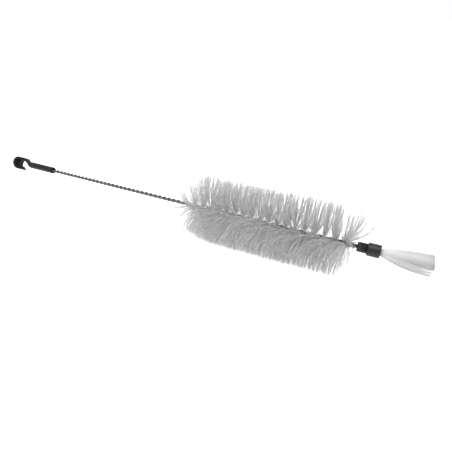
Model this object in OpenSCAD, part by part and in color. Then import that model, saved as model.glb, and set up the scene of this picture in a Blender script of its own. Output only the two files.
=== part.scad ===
// Bottle brush: nylon bristles held in a twisted steel wire, with a moulded
// hanging hook at one end and a ferrule with a filament tuft at the other.
// The brush lies on its bristles. The wire runs along X, the tuft points to +X,
// and Z = 0 is the surface that the brush lies on.

/* [Hook] */
// Length of the hook, from the back of its eye to the sleeve
hook_len = 21.5; // [19:0.5:26]
// Inside radius of the hook's eye
eye_r = 3.6; // [3:0.1:4.2]
// Distance of the eye's centre below the wire
eye_drop = 0.7; // [0:0.1:1.2]
// Thickness of the hook's band
band_t = 2.7; // [1.6:0.1:3]
// Width of the band round the back of the eye
band_w = 10.5; // [7:0.5:13]
// Width of the band where it runs into the sleeve
neck_w = 4.2; // [2.6:0.1:5]
// Width of the band at the hook's free end
lip_w = 3.2; // [2.4:0.2:5]
// Opening between the hook's free end and the sleeve
mouth = 7.4; // [6.8:0.1:9]
// Turn of the hook about the wire, as the brush lies
hook_turn = 32; // [0:1:60]

/* [Sleeve] */
// Length of the sleeve moulded onto the wire
sleeve_len = 34.5; // [30:0.5:50]
// Outside diameter of the sleeve
sleeve_d = 6.1; // [5.8:0.1:8]
// Radius round the sleeve's ends
sleeve_round = 0.8; // [0.3:0.1:1]
// Length of wire inside the sleeve
grip_len = 28; // [20:1:29]
// Diameter of the open mouth of the sleeve's bore
socket_d = 4.4; // [4:0.1:4.8]
// Depth of that open mouth
socket_depth = 2.5; // [1:0.5:4]

/* [Wire] */
// Diameter of the wire
wire_d = 1.6; // [1.2:0.05:1.75]
// Length of bare twisted wire between sleeve and bristles
stem_len = 163.5; // [120:0.5:260]
// Length of one full twist in the bare wire
stem_pitch = 9.6; // [8:0.1:12]
// Length of one full twist where the wire holds bristles
brush_pitch = 13.85; // [11:0.05:16]
// Length of bare wire between bristles and ferrule
front_len = 3.5; // [3.5:0.5:12]
// Turn of the wire about its own axis, as the brush lies
wire_turn = 80; // [0:5:355]

/* [Bristles] */
// Length of wire that holds bristles
brush_len = 126.5; // [90:0.5:160]
// Diameter over the bristle tips
brush_d = 51; // [36:1:70]
// Depth by which the bristles flatten where the brush lies
bed = 0.8; // [0.4:0.1:1.2]
// Bundles of bristles on each side in one full twist
bundles_per_turn = 22; // [12:1:24]
// Thickness of the bristle layer between the strands of wire
layer_t = 0.3; // [0.2:0.05:0.4]
// Width of a bundle at its tips, along the wire
bundle_w = 1.1; // [0.6:0.1:1.4]
// Thickness of a bundle at its tips
bundle_t = 0.7; // [0.4:0.1:0.9]
// Direction round the wire in which the bristles were pressed flat
press_turn = 57; // [0:1:90]
// Lean of the bristles towards the sleeve in that direction
press_lean = 6; // [0:0.5:8]
// Lean of the bristles towards the sleeve across that direction
side_lean = 1.5; // [0:0.5:4]
// Further lean of the first bristles towards the sleeve
back_lean = 3; // [0:0.5:5]
// Lean of the last bristles above the wire towards the ferrule
front_lean = 12; // [0:0.5:14]
// Share by which the bristles' tips gather in the pressed direction
gather = 0.8; // [0:0.05:0.9]
// Thickness of the bundles across the pressed direction, against those in it
side_share = 0.6; // [0.4:0.05:1]
// Thickness of the bundles at the brush's ends, against those between
end_share = 0.5; // [0.4:0.05:1]

/* [Ferrule] */
// Length of the ferrule's narrow end, on the wire
collar_len = 6.5; // [5:0.5:9]
// Diameter of the narrow end
collar_d = 7; // [5.4:0.1:7.6]
// Length of the ferrule's wide end, round the tuft
cup_len = 8.3; // [6:0.1:12]
// Diameter of the wide end
cup_d = 9.2; // [7.6:0.1:11]
// Radius round the ferrule's edges
ferrule_round = 0.6; // [0.3:0.1:0.9]

/* [Tuft] */
// Length of the tuft outside the ferrule
tuft_len = 30.5; // [20:0.5:45]
// Diameter of the tuft's seat inside the ferrule
seat_d = 4.8; // [4.6:0.1:5.4]
// Diameter of the tuft where it leaves the ferrule
root_d = 4; // [3.4:0.1:4.6]
// Diameter of the tuft over its cut ends
tuft_d = 13; // [10:0.5:18]
// Thickness of each lock of filaments at its cut end
lock_d = 1.9; // [1.2:0.1:2.2]
// Direction round the wire of the part of the tuft that stands off
part_turn = 240; // [0:5:355]
// Distance by which that part stands off at its cut end
part_gap = 1.8; // [0:0.1:3]

/* [Hidden] */
$fn = 64;

fit = 0.05;             // clearance round a piece that is pressed in
end_gap = 0.5;          // clearance past the end of a piece in its bore
strand_sides = 6;       // sides of each strand of wire
rings_per_turn = 8;     // sections of each strand in a full twist
strand_gap = 0.03;      // half of the gap between the bare strands
ease = 3;               // length over which the strands open for the bristles
eye_loop = 0.75;        // radius of the wire's end loop, in wire diameters
eye_run = 1.4;          // distance from the collar to that loop, in wire diameters
lean_run = 14;          // length of brush over which the end bristles lean and thin out
stray = 1.2;            // largest stray of a bundle's tips along the wire
fan = 5;                // largest stray of a bundle round the wire, in degrees
lock_rings = 3;         // rings of locks round the middle lock of the tuft
part_half = 35;         // half-width of the part of the tuft that stands off, in degrees
shoulder = 3;           // length over which the neck grows into the sleeve
shoulder_end = 0.1;     // length of the shoulder's small end
shoulder_share = 0.8;   // size of the sleeve's end where the neck joins it
sunk = 1.5;             // length of the neck inside the sleeve
lock_seat = 0.1;        // length of the locks inside the tuft's root

total_len = hook_len + sleeve_len + stem_len + brush_len + front_len
    + collar_len + cup_len + tuft_len;
x_sleeve = hook_len - total_len / 2;
x_stem = x_sleeve + sleeve_len;
x_brush = x_stem + stem_len;
x_front = x_brush + brush_len;
x_ferrule = x_front + front_len;
x_cup = x_ferrule + collar_len;
x_tuft = x_cup + cup_len;
x_wire = x_stem - grip_len;
axis_h = brush_d / 2 - bed;

// A six-sided strand is drawn a little over its diameter, to keep the wire's section
strand_r = 1.03 * wire_d / 2;
// The straight chords of a strand run inside its helix by this factor
chord = cos(180 / rings_per_turn);
stem_lay = (strand_r + strand_gap) / chord;
brush_lay = (strand_r + layer_t / 2 + fit) / chord;
lay_d = 2 * (stem_lay + strand_r);

// Full twists from the wire's start to the bristles, to their end and to the cup
turns_stem = (x_brush - x_wire) / stem_pitch;
turns_brush = turns_stem + brush_len / brush_pitch;
turns_all = turns_brush + (x_cup - x_front) / stem_pitch;

function smooth(t) = let (c = min(max(t, 0), 1)) c * c * (3 - 2 * c);
function unit(v) = v / norm(v);
function on_floor(p) = [p.x, p.y, max(p.z, -axis_h)];

// X after a number of twists, and the angle of the twist at an X among the bristles
function x_of(turns) = x_wire + min(turns, turns_stem) * stem_pitch
    + (min(max(turns, turns_stem), turns_brush) - turns_stem) * brush_pitch
    + max(turns - turns_brush, 0) * stem_pitch;
function angle_of(turns) = 360 * (turns - turns_all);
function brush_angle(x) = angle_of(turns_stem + (x - x_brush) / brush_pitch) + wire_turn;

// Distance of a strand's middle from the wire's axis
function lay_at(x) = stem_lay + (brush_lay - stem_lay)
    * (smooth((x - x_brush) / ease + 1) - smooth((x - x_front) / ease));

// Puts what is modelled round the wire at the height of the wire
module on_wire() {
    translate([0, 0, axis_h]) children();
}

// A body turned about X from a profile with its radius along Y
module turned() {
    rotate([90, 0, 90]) rotate_extrude() children();
}

// Half of a bar's section, with rounded corners, from x = 0 to its radius
module bar_section(len, d, corner) {
    translate([0, corner]) square([d / 2, len - 2 * corner]);
    square([d / 2 - corner, len]);
    for (y = [corner, len - corner]) {
        translate([d / 2 - corner, y]) circle(corner);
    }
}

// A polyhedron's two triangles for each four corners
function halves(a, b, c, d) = [[a, b, c], [a, c, d]];
function flat(lists) = [for (list = lists) each list];

/* ---- hook and sleeve ---- */

eye_x = eye_r + band_t - hook_len;
arm_u = eye_r - eye_drop + band_t / 2;

// Middle of the neck between the upper arm and the sleeve, seen from the side
function neck_u(x) = arm_u * (1 - smooth(1 + x / mouth));
function neck_slope(x) = (neck_u(x + 0.01) - neck_u(x - 0.01)) / 0.02;
function neck_edge(x, side) =
    [x, neck_u(x) + side * band_t / 2 * sqrt(1 + pow(neck_slope(x), 2))];

// Half-width of an arm that narrows from the eye to its end
function arm_half(x, end_x, end_w) =
    (band_w + (end_w - band_w) * smooth((x - eye_x) / (end_x - eye_x))) / 2;

module neck_side() {
    steps = [for (i = [0 : 12]) -mouth * (1 - i / 12)];
    polygon(concat(
        [for (x = steps) neck_edge(x, 1)],
        [[sunk, band_t / 2], [sunk, -band_t / 2]],
        [for (i = [12 : -1 : 0]) neck_edge(steps[i], -1)]));
}

module upper_side() {
    difference() {
        union() {
            translate([eye_x, -eye_drop]) circle(eye_r + band_t);
            translate([eye_x, eye_r - eye_drop]) square([-mouth - eye_x, band_t]);
        }
        translate([eye_x, -eye_drop]) circle(eye_r);
        translate([eye_x, -eye_drop - eye_r - band_t])
            square([2 * eye_r + band_t, 2 * eye_r + band_t]);
    }
    neck_side();
}

module lower_side() {
    translate([eye_x, -eye_drop - eye_r - band_t]) square([-mouth - eye_x, band_t]);
}

// Both edges of an arm, seen from above
module arm_plan(end_x, end_w) {
    steps = [for (i = [0 : 12]) eye_x + (end_x - eye_x) * i / 12];
    polygon(concat(
        [[-hook_len - 1, band_w / 2]],
        [for (x = steps) [x, arm_half(x, end_x, end_w)]],
        [[sunk, end_w / 2], [sunk, -end_w / 2]],
        [for (i = [12 : -1 : 0]) [steps[i], -arm_half(steps[i], end_x, end_w)]],
        [[-hook_len - 1, -band_w / 2]]));
}

// An arm is its side view, cut to the width that it has from above
module arm(end_x, end_w) {
    intersection() {
        rotate([90, 0, 0]) linear_extrude(band_w, center = true) children();
        translate([0, 0, -hook_len]) linear_extrude(2 * hook_len) arm_plan(end_x, end_w);
    }
}

// The neck's end swells to meet the sleeve
module neck_shoulder() {
    hull() {
        translate([-shoulder, 0, neck_u(-shoulder)])
            rotate([0, 90, 0]) cylinder(h = shoulder_end, d = band_t);
        translate([sleeve_round, 0, 0])
            rotate([0, 90, 0]) cylinder(h = sunk, d = shoulder_share * sleeve_d);
    }
}

module hook_handle() {
    color([0.16, 0.16, 0.17]) on_wire() translate([x_sleeve, 0, 0]) difference() {
        union() {
            turned() bar_section(sleeve_len, sleeve_d, sleeve_round);
            rotate([-hook_turn, 0, 0]) {
                arm(-mouth / 2, neck_w) upper_side();
                arm(-mouth, lip_w) lower_side();
                neck_shoulder();
            }
        }
        translate([sleeve_len - grip_len - end_gap, 0, 0]) rotate([0, 90, 0])
            cylinder(h = grip_len + 1, d = lay_d + 2 * fit);
        translate([sleeve_len - socket_depth, 0, 0]) rotate([0, 90, 0])
            cylinder(h = socket_depth + 1, d = socket_d);
    }
}

/* ---- twisted wire ---- */

loop_r = eye_loop * wire_d;
loop_x = x_cup + eye_run * wire_d;
wire_rings = ceil(turns_all * rings_per_turn);

function strand(side, i) =
    let (turns = turns_all * i / wire_rings, x = x_of(turns), a = angle_of(turns))
    [x, side * lay_at(x) * cos(a), side * lay_at(x) * sin(a)];

// One wire: along one strand, round the loop in the ferrule and back as the other
wire_path = concat(
    [for (i = [0 : wire_rings]) strand(1, i)],
    [for (a = [100 : -20 : -100]) [loop_x + loop_r * cos(a), loop_r * sin(a), 0]],
    [for (i = [wire_rings : -1 : 0]) strand(-1, i)]);

function run_at(path, i) =
    unit(path[min(i + 1, len(path) - 1)] - path[max(i - 1, 0)]);

// A ring of points round a path's point, kept upright by the Z axis
function ring(path, i) =
    let (run = run_at(path, i), up = unit([0, 0, 1] - run.z * run), out = cross(run, up))
    [for (j = [0 : strand_sides - 1])
        let (a = 360 * j / strand_sides) path[i] + strand_r * (cos(a) * up + sin(a) * out)];

module sweep(path) {
    n = strand_sides;
    last = len(path) - 1;
    points = flat([for (i = [0 : last]) ring(path, i)]);
    sides = flat([for (i = [0 : last - 1], j = [0 : n - 1])
        let (k = (j + 1) % n) halves(i * n + j, (i + 1) * n + j, (i + 1) * n + k, i * n + k)]);
    caps = [[for (j = [0 : n - 1]) j], [for (j = [n - 1 : -1 : 0]) last * n + j]];
    polyhedron(points, concat(sides, caps));
}

module twisted_wire() {
    color([0.66, 0.67, 0.68]) on_wire() rotate([wire_turn, 0, 0]) sweep(wire_path);
}

/* ---- bristles ---- */

bundles = round(brush_len / brush_pitch * bundles_per_turn);
stations = 2 * bundles;
hub_r = strand_r + brush_lay / 2;
strays = rands(-1, 1, 4 * bundles, 7);

function station_x(i) = x_brush + brush_len * i / (stations - 1);

// From 1 for bristles that stand in the pressed direction to -1 for those opposite
function pressed(a) = cos(a - press_turn);

// Lean of the tips towards the sleeve and, above the wire's front end, the ferrule
function lean_at(x, a) =
    front_lean * pow(1 - smooth((x_front - x) / lean_run), 2) * max(pressed(a), 0)
    - back_lean * (1 - smooth((x - x_brush) / lean_run)) * (1 + pressed(a)) / 2
    - side_lean - (press_lean - side_lean) * pow(pressed(a), 2)
    - gather * brush_pitch / (4 * PI) * sin(2 * (a - press_turn));

// Share of a bundle's full thickness, which falls to the ends and to the sides
function share_at(x, a) = (side_share + (1 - side_share) * pow(pressed(a), 2))
    * (end_share + (1 - end_share) * smooth((x - x_brush) / lean_run)
        * smooth(2 * (x_front - x) / lean_run));

// Four corners of the bristle layer between the strands
function layer(i) =
    let (x = station_x(i), a = brush_angle(x) + 90,
        out = hub_r * [0, cos(a), sin(a)], up = layer_t / 2 * [0, -sin(a), cos(a)])
    [for (c = [[1, 1], [-1, 1], [-1, -1], [1, -1]]) [x, 0, 0] + c[0] * out + c[1] * up];

// Four corners of a bundle's cut end, on one side of the wire
function tip(k, side) =
    let (x = station_x(2 * k + 0.5), pick = 4 * k + side + 1,
        a = brush_angle(x) + 90 + fan * strays[pick],
        share = share_at(x, a),
        reach = side * brush_d / 2 * [0, cos(a), sin(a)],
        lean = lean_at(x, side > 0 ? a : a + 180) + stray * strays[pick + 1],
        up = share * bundle_t / 2 * [0, -sin(a), cos(a)],
        wide = side * share * [bundle_w / 2, 0, 0])
    [for (c = [[-1, 1], [-1, -1], [1, -1], [1, 1]])
        on_floor([x + lean, 0, 0] + reach + c[0] * wide + c[1] * up)];

// Faces of a bundle, from four corners of the layer to the four of its cut end
function bundle_faces(b, t) = concat(
    flat([for (j = [0 : 3]) let (k = (j + 1) % 4) halves(b[j], b[k], t + k, t + j)]),
    halves(t, t + 1, t + 2, t + 3));

module bristles() {
    points = concat(
        flat([for (i = [0 : stations - 1]) layer(i)]),
        flat([for (k = [0 : bundles - 1]) concat(tip(k, 1), tip(k, -1))]));
    sheets = flat([for (i = [0 : stations - 2])
        let (a = 4 * i, b = a + 4)
        concat(halves(a, b, b + 1, a + 1), halves(a + 2, b + 2, b + 3, a + 3))]);
    edges = flat([for (i = [1 : 2 : stations - 2])
        let (a = 4 * i, b = a + 4)
        concat(halves(a + 3, b + 3, b, a), halves(a + 1, b + 1, b + 2, a + 2))]);
    ends = concat(halves(0, 1, 2, 3),
        let (z = 4 * (stations - 1)) halves(z + 3, z + 2, z + 1, z));
    outer = flat([for (k = [0 : bundles - 1])
        let (a = 8 * k, b = a + 4, t = 4 * stations + 8 * k)
        concat(bundle_faces([a, a + 3, b + 3, b], t),
            bundle_faces([b + 1, b + 2, a + 2, a + 1], t + 4))]);
    color([0.93, 0.93, 0.92]) on_wire() polyhedron(points, concat(sheets, edges, ends, outer));
}

/* ---- ferrule ---- */

module tip_ferrule() {
    color([0.16, 0.16, 0.17]) on_wire() translate([x_ferrule, 0, 0]) difference() {
        turned() union() {
            bar_section(collar_len + 2 * ferrule_round, collar_d, ferrule_round);
            translate([0, collar_len]) bar_section(cup_len, cup_d, ferrule_round);
        }
        translate([-1, 0, 0]) rotate([0, 90, 0])
            cylinder(h = collar_len + 2, d = lay_d + 2 * fit);
        translate([collar_len, 0, 0]) rotate([0, 90, 0])
            cylinder(h = cup_len + 1, d = seat_d + 2 * fit);
    }
}

/* ---- tuft ---- */

// Room in the tuft's root for the wire's loop, with the filaments that pass through it
module loop_room() {
    linear_extrude(2 * (strand_r + fit), center = true) difference() {
        union() {
            translate([loop_x, 0]) circle(loop_r + strand_r + fit);
            translate([x_cup, -loop_r - strand_r - fit])
                square([loop_x - x_cup, 2 * (loop_r + strand_r + fit)]);
        }
        translate([loop_x, 0]) circle(loop_r - strand_r - fit);
    }
}

// One lock of filaments, between its place in the root and its cut end
module lock(at, turn, end_x) {
    stands_off = at == 1 && cos(turn - part_turn) > cos(part_half);
    root_r = at * (root_d / 2 - lock_d / 4);
    tip_r = at * (tuft_d - lock_d) / 2 + (stands_off ? part_gap : 0);
    hull() {
        rotate([turn, 0, 0]) translate([x_tuft - lock_seat, root_r, 0]) rotate([0, 90, 0])
            cylinder(h = lock_seat, d = lock_d / 2, $fn = 6);
        rotate([turn, 0, 0]) translate([end_x - lock_seat, tip_r, 0]) rotate([0, 90, 0])
            cylinder(h = lock_seat, d = lock_d, $fn = 6);
    }
}

module tip_tuft() {
    trims = rands(0, 1, 3 * lock_rings * (lock_rings + 1) + 1, 11);
    color([0.95, 0.95, 0.94]) on_wire() {
        difference() {
            translate([x_cup + end_gap, 0, 0]) rotate([0, 90, 0])
                cylinder(h = cup_len - end_gap, d = seat_d, $fn = 32);
            rotate([wire_turn, 0, 0]) loop_room();
        }
        lock(0, 0, x_tuft + tuft_len);
        for (r = [1 : lock_rings], i = [0 : 6 * r - 1]) {
            lock(r / lock_rings, 60 * i / r, x_tuft + tuft_len - trims[3 * r * (r - 1) + 1 + i]);
        }
    }
}

hook_handle();
twisted_wire();
bristles();
tip_ferrule();
tip_tuft();
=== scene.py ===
"""The look of the bottle brush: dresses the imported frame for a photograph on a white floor.

Lengths are in millimetres and angles in degrees, unless a line says otherwise. new_object() and
camera() take the lengths into the scene's metres. Places along the brush come from the frame's
own boxes, and the first block of sizes repeats those of the part's source. The values in the
other blocks are the scene's own. The camera is fitted to the photo, and the leans, lengths and
tones of the pieces were set by comparing renders with it.

A bristle is known by its root's place x along the wire and by its angle round the wire, in
radians. The head was pressed in its pack, so the bristles above the wire keep to their rows,
and those below make an even fur. smooth() and ramp() ease one into the other.
"""

import math

import bpy
import numpy as np
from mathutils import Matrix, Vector

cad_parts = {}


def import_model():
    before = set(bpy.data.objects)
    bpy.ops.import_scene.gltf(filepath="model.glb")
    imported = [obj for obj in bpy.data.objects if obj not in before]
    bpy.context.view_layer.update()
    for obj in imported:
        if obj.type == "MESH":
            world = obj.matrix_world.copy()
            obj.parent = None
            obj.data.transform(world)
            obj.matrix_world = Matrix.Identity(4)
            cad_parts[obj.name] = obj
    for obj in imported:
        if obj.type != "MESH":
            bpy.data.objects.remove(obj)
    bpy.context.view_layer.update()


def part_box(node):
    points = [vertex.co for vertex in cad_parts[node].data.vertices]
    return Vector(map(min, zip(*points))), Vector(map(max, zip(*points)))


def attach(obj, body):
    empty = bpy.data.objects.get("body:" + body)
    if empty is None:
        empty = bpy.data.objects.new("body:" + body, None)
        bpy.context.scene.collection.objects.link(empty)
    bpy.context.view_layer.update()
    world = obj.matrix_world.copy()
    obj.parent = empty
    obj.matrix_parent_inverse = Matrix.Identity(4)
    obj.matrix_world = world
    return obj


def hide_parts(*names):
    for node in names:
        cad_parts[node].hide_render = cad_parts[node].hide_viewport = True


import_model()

MM = 0.001
NEARLY = 0.999  # share that keeps a value just under its limit

# ---- sizes of the part, as in its source ----

HOOK_LEN = 21.5  # from the back of the eye to the sleeve
EYE_R = 3.6  # inside radius of the hook's eye
EYE_DROP = 0.7  # of the eye's centre below the wire
BAND_T = 2.7  # thickness of the hook's band
BAND_W = 10.5  # width of the band round the eye
NECK_W = 4.2  # width of the band where it runs into the sleeve
LIP_W = 3.2  # width of the band at its free end
MOUTH = 7.4  # from the free end to the sleeve
HOOK_TURN = 32.0  # of the hook about the wire
SHOULDER = 3.0  # length over which the neck grows into the sleeve
SLEEVE_LEN = 34.5
SLEEVE_R = 3.05
SLEEVE_ROUND = 0.8  # radius round the sleeve's ends
GRIP_LEN = 28.0  # length of wire inside the sleeve
SOCKET_R = 2.2  # open mouth of the sleeve's bore
SOCKET_DEPTH = 2.5
END_GAP = 0.5  # past the wire's end in its bore
FIT = 0.05  # clearance round a piece that is pressed in
WIRE_R = 0.8
STEM_LEN = 163.5  # bare wire between sleeve and bristles
STEM_PITCH = 9.6  # one full twist of the bare wire
BRUSH_PITCH = 13.85  # one full twist among the bristles
WIRE_TURN = 80.0  # of the wire about its own axis
EASE = 3.0  # length over which the strands open for the bristles
EYE_LOOP = 0.75  # radius of the wire's end loop, in wire diameters
EYE_RUN = 1.4  # from the collar to that loop, in wire diameters
BRUSH_LEN = 126.5
BRUSH_R = 25.5
BED = 0.8  # depth by which the bristles flatten where the brush lies
LAYER_T = 0.3  # layer of bristles between the strands
COLLAR_LEN = 6.5  # narrow end of the ferrule
COLLAR_R = 3.5
CUP_R = 4.6  # wide end of the ferrule
FERRULE_ROUND = 0.6  # radius round the ferrule's edges
SEAT_R = 2.4  # seat of the tuft in the ferrule

# The scene's strands are round, and lie closer than the source's six-sided ones.
STRAND_LAY = 0.83  # from the wire's axis to a strand's middle
BRUSH_LAY = 1.0  # the same among the bristles
BORE_MORE = 0.1  # further room in the bores round the strands
BORE_R = WIRE_R + STRAND_LAY + BORE_MORE + FIT

# ---- places along the brush, from the frame ----

X_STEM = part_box("hook_handle")[1].x / MM
X_SLEEVE = X_STEM - SLEEVE_LEN
X_WIRE = X_STEM - GRIP_LEN
X_BRUSH = X_STEM + STEM_LEN
X_FRONT = X_BRUSH + BRUSH_LEN
X_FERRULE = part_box("tip_ferrule")[0].x / MM
X_CUP = X_FERRULE + COLLAR_LEN
X_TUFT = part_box("tip_ferrule")[1].x / MM
X_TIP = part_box("tip_tuft")[1].x / MM
AXIS_H = BRUSH_R - BED

random = np.random.default_rng(2024)


# ---- helpers ----


def smooth(t):
    """Eases from 0 to 1."""
    t = np.clip(t, 0.0, 1.0)
    return t * t * (3.0 - 2.0 * t)


def ramp(value, start, run):
    """Eases from 0 to 1 while a value goes on from a start over a run."""
    return smooth((value - start) / run)


def between(pair, share):
    """The value at a share of the way between two."""
    return pair[0] + (pair[1] - pair[0]) * share


def unit(v):
    """Directions, each scaled to a length of 1."""
    return v / np.linalg.norm(v, axis=-1, keepdims=True)


def spoke(r, angle):
    """Places y and z about the wire's axis, at a distance from it and an angle."""
    return r * np.cos(angle), r * np.sin(angle)


def new_object(name, corners, polygons, sizes, attributes=None):
    """An object from its corners, its polygons' corners in a row, and how many each has."""
    mesh = bpy.data.meshes.new(name)
    mesh.vertices.add(len(corners))
    mesh.vertices.foreach_set("co", (np.asarray(corners) * MM).astype(np.float32).ravel())
    mesh.loops.add(len(polygons))
    mesh.loops.foreach_set("vertex_index", np.asarray(polygons, np.int32))
    mesh.polygons.add(len(sizes))
    starts = np.concatenate([[0], np.cumsum(sizes)[:-1]])
    mesh.polygons.foreach_set("loop_start", starts.astype(np.int32))
    mesh.polygons.foreach_set("use_smooth", np.ones(len(sizes), bool))
    for key, values in (attributes or {}).items():
        layer = mesh.attributes.new(key, "FLOAT", "POINT")
        layer.data.foreach_set("value", np.asarray(values, np.float32).ravel())
    mesh.update(calc_edges=True)
    mesh.validate()
    made = bpy.data.objects.new(name, mesh)
    bpy.context.scene.collection.objects.link(made)
    return made


def tube(rings, closed_ends=True):
    """Polygons that join rings of corners one after the other: rings is their number and size."""
    count, size = rings
    i, j = np.meshgrid(np.arange(count - 1), np.arange(size), indexing="ij")
    k = (j + 1) % size
    quads = np.stack([i * size + j, (i + 1) * size + j, (i + 1) * size + k, i * size + k], -1)
    polygons = list(quads.reshape(-1))
    sizes = [4] * ((count - 1) * size)
    if closed_ends:
        polygons += list(range(size)) + list(range(count * size - 1, (count - 1) * size - 1, -1))
        sizes += [size, size]
    return polygons, sizes


def place(piece, slot, material, *nodes):
    """Hands a finished piece to the frame in place of its CAD nodes."""
    piece.data.materials.append(material)
    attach(piece, "root")
    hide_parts(*nodes)


# ---- materials ----

PLASTIC = ((0.006, 0.006, 0.0065), (0.015, 0.015, 0.0155))  # darkest and palest colour
ZINC = ((0.085, 0.085, 0.086), (0.18, 0.18, 0.182))
NOISE_RANGE = (0.3, 0.7)  # most of a noise lies between these


class Nodes:
    """A material's node tree, with short calls for the nodes that the finishes share."""

    def __init__(self, name):
        self.material = bpy.data.materials.new(name)
        self.material.use_nodes = True
        self.tree = self.material.node_tree
        self.shader = self.tree.nodes["Principled BSDF"]

    def add(self, kind, **sockets):
        """A new node, with values for its sockets by their names."""
        node = self.tree.nodes.new(kind)
        for key, value in sockets.items():
            node.inputs[key.replace("_", " ")].default_value = value
        return node

    def link(self, source, target):
        self.tree.links.new(source, target)

    def attribute(self, name):
        """A value that the mesh carries at its corners."""
        node = self.add("ShaderNodeAttribute")
        node.attribute_name = name
        return node.outputs["Fac"]

    def noise(self, scale, detail):
        """Noise over the object's own place, with scale in cycles per metre."""
        where = self.add("ShaderNodeTexCoord")
        node = self.add("ShaderNodeTexNoise", Scale=scale, Detail=detail)
        self.link(where.outputs["Object"], node.inputs["Vector"])
        return node.outputs["Fac"]

    def spread(self, noise, low, high):
        """Takes a noise to values between low and high."""
        node = self.add("ShaderNodeMapRange", From_Min=NOISE_RANGE[0], From_Max=NOISE_RANGE[1],
                        To_Min=low, To_Max=high)
        self.link(noise, node.inputs["Value"])
        return node.outputs["Result"]

    def colour(self, value, dark, pale):
        """Colours the shader between two colours, by a value from 0 to 1."""
        node = self.add("ShaderNodeMix")
        node.data_type = "RGBA"
        ends = [s for s in node.inputs if s.type == "RGBA"]
        ends[0].default_value = (*dark, 1.0)
        ends[1].default_value = (*pale, 1.0)
        self.link(value, node.inputs["Factor"])
        mixed = [s for s in node.outputs if s.type == "RGBA"][0]
        self.link(mixed, self.shader.inputs["Base Color"])

    def roughen(self, noise, middle, more):
        """Varies the shader's roughness about a middle value, by up to so much more or less."""
        self.link(self.spread(noise, middle - more, middle + more), self.shader.inputs["Roughness"])

    def bump(self, value, height_m):
        """Relief of a height in metres."""
        node = self.add("ShaderNodeBump", Distance=height_m)
        self.link(value, node.inputs["Height"])
        self.link(node.outputs["Normal"], self.shader.inputs["Normal"])


def black_plastic(name, gloss, roughness):
    """Injection-moulded black plastic: a fine grain, with faint flow marks and worn patches."""
    n = Nodes(name)
    n.colour(n.spread(n.noise(scale=260.0, detail=4.0), 0.0, 1.0), *PLASTIC)
    n.roughen(n.noise(scale=420.0, detail=3.0), roughness, 0.08)
    n.bump(n.noise(scale=5200.0, detail=2.0), height_m=0.00004)
    n.shader.inputs["Specular IOR Level"].default_value = gloss
    return n.material


def galvanised_wire():
    """Dull zinc-coated steel wire, with lines along it from drawing."""
    n = Nodes("galvanised_wire")
    n.colour(n.spread(n.noise(scale=900.0, detail=4.0), 0.0, 1.0), *ZINC)
    n.roughen(n.noise(scale=1500.0, detail=2.0), 0.42, 0.1)
    n.shader.inputs["Metallic"].default_value = 1.0
    on_wire = n.add("ShaderNodeCombineXYZ")
    n.link(n.attribute("around"), on_wire.inputs["X"])
    n.link(n.attribute("run"), on_wire.inputs["Y"])
    lines = n.add("ShaderNodeTexNoise", Scale=1.0, Detail=2.0)
    n.link(on_wire.outputs["Vector"], lines.inputs["Vector"])
    n.bump(lines.outputs["Fac"], height_m=0.00003)
    return n.material


def nylon(name, dark, pale, roughness):
    """Clouded nylon filament: each filament has its own grey, between a dark and a pale one. In the
    tuft, that grey also carries painted shade, darker low in the main bundle.
    """
    n = Nodes(name)
    n.colour(n.attribute("tone"), (dark,) * 3, (pale,) * 3)
    n.roughen(n.noise(scale=3000.0, detail=2.0), roughness, 0.06)
    n.shader.inputs["Specular IOR Level"].default_value = 0.5
    return n.material


# ---- hook and sleeve ----
# The hook is drawn in a plane of its own: x along the wire from the sleeve's end, and u up.

EYE_X = EYE_R + BAND_T - HOOK_LEN
ARM_U = EYE_R - EYE_DROP + BAND_T / 2  # height of the upper arm's middle
NECK_EARLY = 2.0  # start of the neck's bend, behind the free end
NECK_LATE = 1.0  # end of the neck's bend, inside the sleeve
NECK_END = -0.5  # last ring of the band before the sleeve
BACK_ROUND = 0.14  # share of its width that the band loses round the back of the eye
SHOULDER_R = 0.75 * SLEEVE_R  # half-size of the neck at the sleeve
LIP_T = (1.5, 3.5)  # thickness of the lower arm at its lip, and where it is thickest
LIP_T_RUN = 3.0  # from the eye's centre to its thickest place
LIP_SHARP = 1.6  # how early the lower arm is down to the lip's width
LIP_MORE = 2.2  # how far the rounded lip goes on past the arm's end
LIP_RUN = 1.5 * LIP_MORE  # length of the lower arm that the rounding stands in for
# Rings of the rounding: places along the arm, in shares of LIP_MORE, and sizes.
LIP_RINGS = ((-1.0, 0.35), (-0.8, 0.55), (-0.3, 0.68), (0.6, 0.9), (1.4, 1.0))
LOWER_STEPS = 22  # rings of the lower arm, of the eye's back and of the upper arm
BACK_STEPS = 40
UPPER_STEPS = 50

CORNER = 0.7  # radius round the band's edges
CORNER_MOST = 0.9  # largest such radius, as a share of half of the section
CORNER_STEPS = 6
FLASH_H = 0.07  # fine line that the mould's halves leave
FLASH_W = 0.22

NOSE_R = 1.9  # where the sleeve's end face begins, inside the neck
SLEEVE_BOW = (15, 35, 55, 75, 90)  # angles of the rings round the sleeve's ends
SLEEVE_START = 1.5  # from its ends to the rings of its straight stretch
SLEEVE_STEPS = 12
SOCKET_EDGE = 0.15  # bevel round the bore's open mouth


def neck_u(x):
    """Height of the neck's middle line, between the upper arm and the sleeve."""
    return ARM_U * (1 - ramp(x, -MOUTH - NECK_EARLY, MOUTH + NECK_EARLY + NECK_LATE))


def arm_half(x, end_x, end_w, sharp=1.0):
    """Half-width of an arm that narrows from the eye to its end."""
    return between((BAND_W, end_w), smooth(sharp * (x - EYE_X) / (end_x - EYE_X))) / 2


def lip_half(x):
    """Half-thickness of the lower arm: it swells in front of the eye and thins to the lip."""
    return np.interp(x, (EYE_X, EYE_X + LIP_T_RUN, -MOUTH), (BAND_T, LIP_T[1], LIP_T[0])) / 2


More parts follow.
